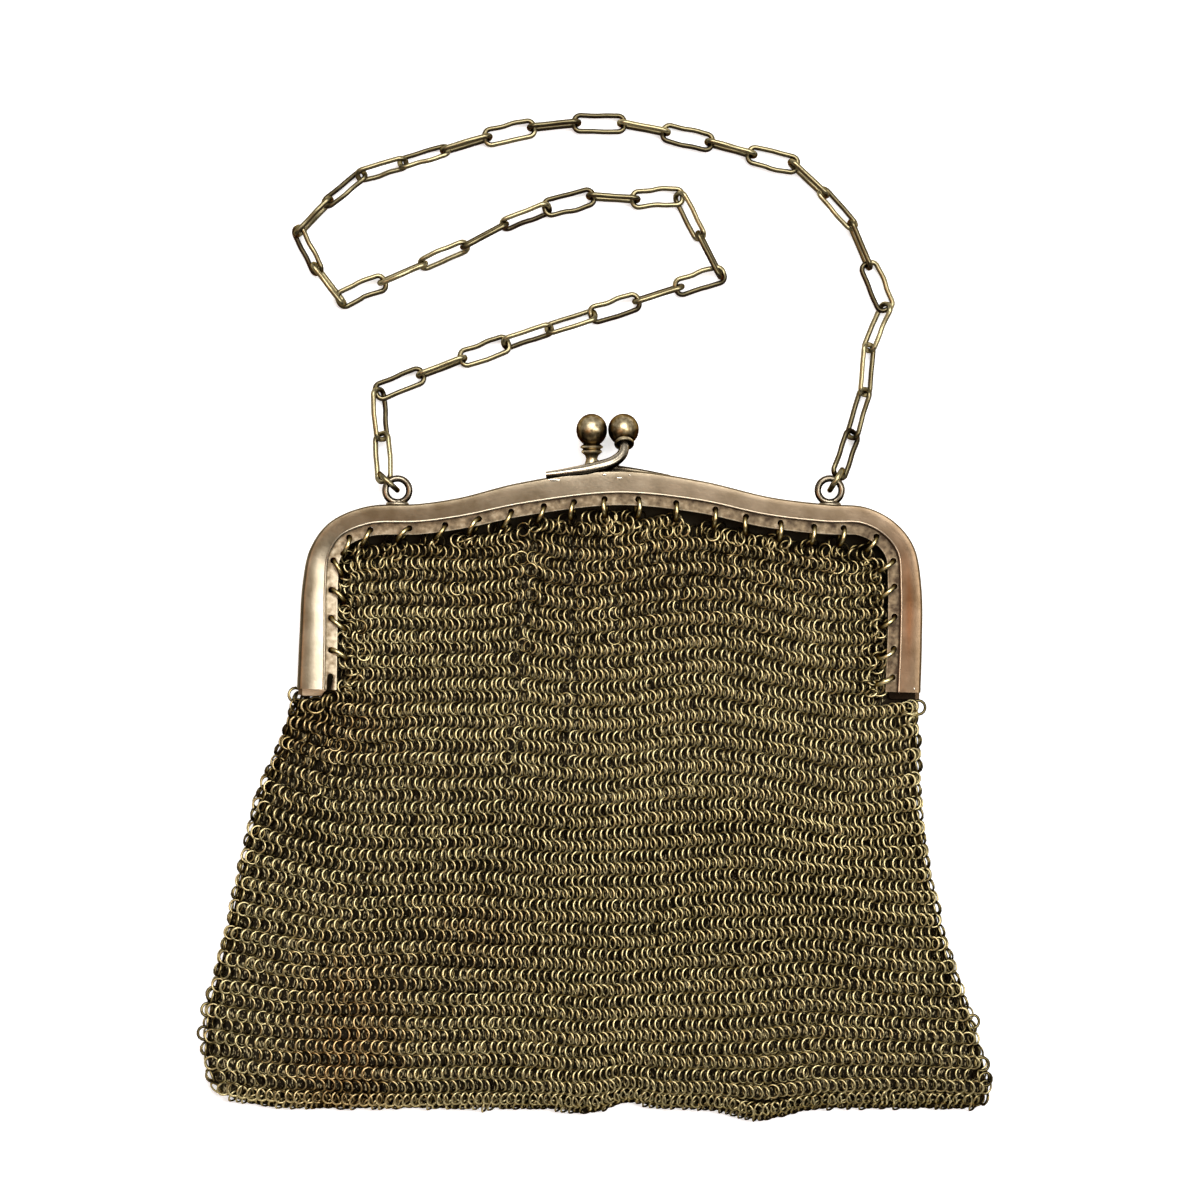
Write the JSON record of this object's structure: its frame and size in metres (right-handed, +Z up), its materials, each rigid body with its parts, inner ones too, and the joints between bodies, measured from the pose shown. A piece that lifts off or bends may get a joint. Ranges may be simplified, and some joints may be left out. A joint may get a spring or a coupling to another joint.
{
  "type": "ring-mail handbag with kiss-lock frame and carry chain",
  "caption": "Flat ring-mail pouch on an arched kiss-lock purse frame with a ball clasp, drilled flange and a long-link carry chain, lying on its back.",
  "frame": {"origin": "middle of the purse's box, on the surface that it lies on", "axes": "+X to the right seen from the front, +Y from the pouch's hem towards the clasp and chain, +Z up out of the front of the bag"},
  "size_m": [0.1594, 0.2024, 0.011],
  "materials": {
    "frame_metal": "worn nickel silver with brown patina",
    "mail_metal": "tarnished brass wire, bright on the rubbed crowns",
    "chain_metal": "pale brass wire, tarnished in the joints"
  },
  "bodies": {
    "root": {"frame_front": "frame_metal", "frame_back": "frame_metal", "hinge_pin_left": "frame_metal", "hinge_pin_right": "frame_metal", "mail_pouch": "mail_metal", "chain_jump_ring_left": "chain_metal", "chain_jump_ring_right": "chain_metal", "chain_link_01": "chain_metal", "chain_link_02": "chain_metal", "chain_link_03": "chain_metal", "chain_link_04": "chain_metal", "chain_link_05": "chain_metal", "chain_link_06": "chain_metal", "chain_link_07": "chain_metal", "chain_link_08": "chain_metal", "chain_link_09": "chain_metal", "chain_link_10": "chain_metal", "chain_link_11": "chain_metal", "chain_link_12": "chain_metal", "chain_link_13": "chain_metal", "chain_link_14": "chain_metal", "chain_link_15": "chain_metal", "chain_link_16": "chain_metal", "chain_link_17": "chain_metal", "chain_link_18": "chain_metal", "chain_link_19": "chain_metal", "chain_link_20": "chain_metal", "chain_link_21": "chain_metal", "chain_link_22": "chain_metal", "chain_link_23": "chain_metal", "chain_link_24": "chain_metal", "chain_link_25": "chain_metal", "chain_link_26": "chain_metal", "chain_link_27": "chain_metal", "chain_link_28": "chain_metal", "chain_link_29": "chain_metal", "chain_link_30": "chain_metal", "chain_link_31": "chain_metal", "chain_link_32": "chain_metal", "chain_link_33": "chain_metal", "chain_link_34": "chain_metal", "chain_link_35": "chain_metal", "chain_link_36": "chain_metal", "chain_link_37": "chain_metal", "chain_link_38": "chain_metal", "chain_link_39": "chain_metal", "chain_link_40": "chain_metal", "chain_link_41": "chain_metal", "chain_link_42": "chain_metal"}
  },
  "joints": []
}
